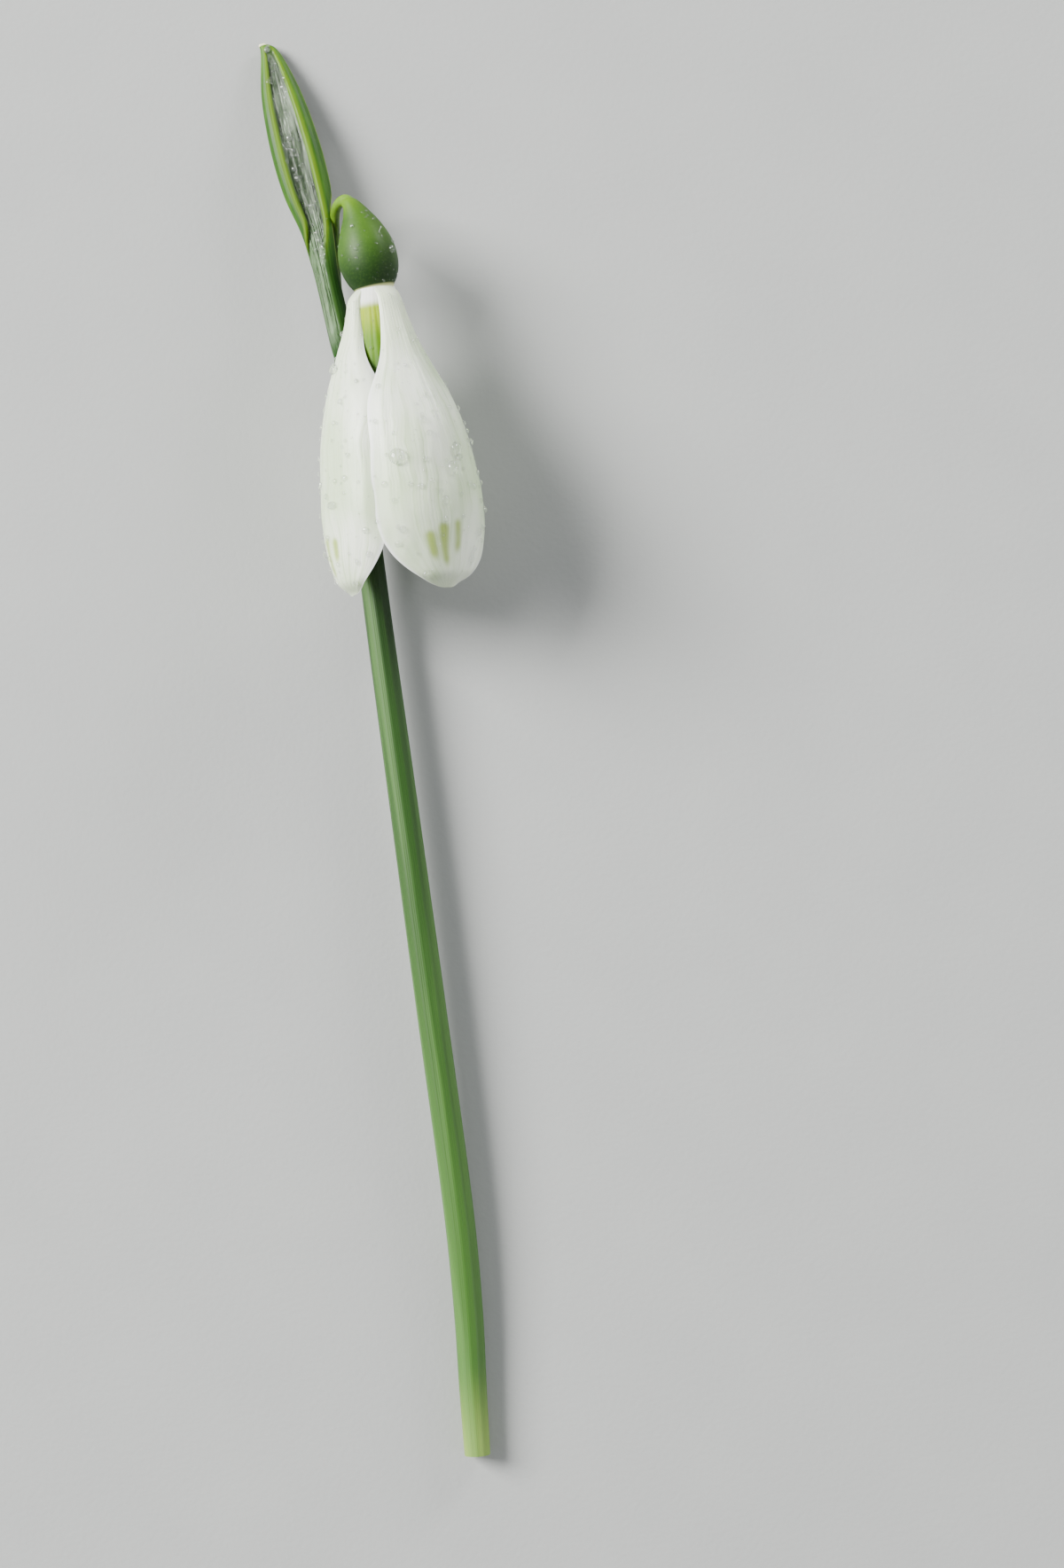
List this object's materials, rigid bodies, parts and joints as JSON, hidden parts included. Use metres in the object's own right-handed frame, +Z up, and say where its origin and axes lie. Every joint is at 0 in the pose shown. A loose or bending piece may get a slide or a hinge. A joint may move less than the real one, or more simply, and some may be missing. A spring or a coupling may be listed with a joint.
{
  "type": "snowdrop flower",
  "caption": "Picked snowdrop lying on its side: a slender green scape with a spathe and a nodding white flower hung from a thin arching pedicel.",
  "frame": {"origin": "middle of the underside of the object's box, on the surface it lies on", "axes": "+Y runs up the scape from its cut end towards the spathe's tip, +X is to the right seen from above, +Z is up from the surface"},
  "size_m": [0.0154, 0.1336, 0.0147],
  "materials": {
    "scape_green": "fine waxy stalk tissue, satin",
    "spathe_green": "green keels joined by a papery skin, satin",
    "pedicel_green": "smooth stalk tissue, satin",
    "ovary_green": "waxy, softly glossy",
    "tepal_white": "white petal tissue, satin",
    "inner_tepal": "white petal tissue with green marks, satin",
    "stamen_orange": "matte anther on a white filament",
    "style_pale": "smooth pale tissue",
    "dew": "clear water drops"
  },
  "bodies": {
    "root": {"scape": "scape_green", "spathe": "spathe_green", "pedicel": "pedicel_green", "ovary": "ovary_green", "outer_tepal_left": "tepal_white", "outer_tepal_right": "tepal_white", "outer_tepal_back": "tepal_white", "inner_tepal_front": "inner_tepal", "inner_tepal_right": "inner_tepal", "inner_tepal_left": "inner_tepal", "stamen_1": "stamen_orange", "stamen_2": "stamen_orange", "stamen_3": "stamen_orange", "stamen_4": "stamen_orange", "stamen_5": "stamen_orange", "stamen_6": "stamen_orange", "style": "style_pale"}
  },
  "joints": []
}
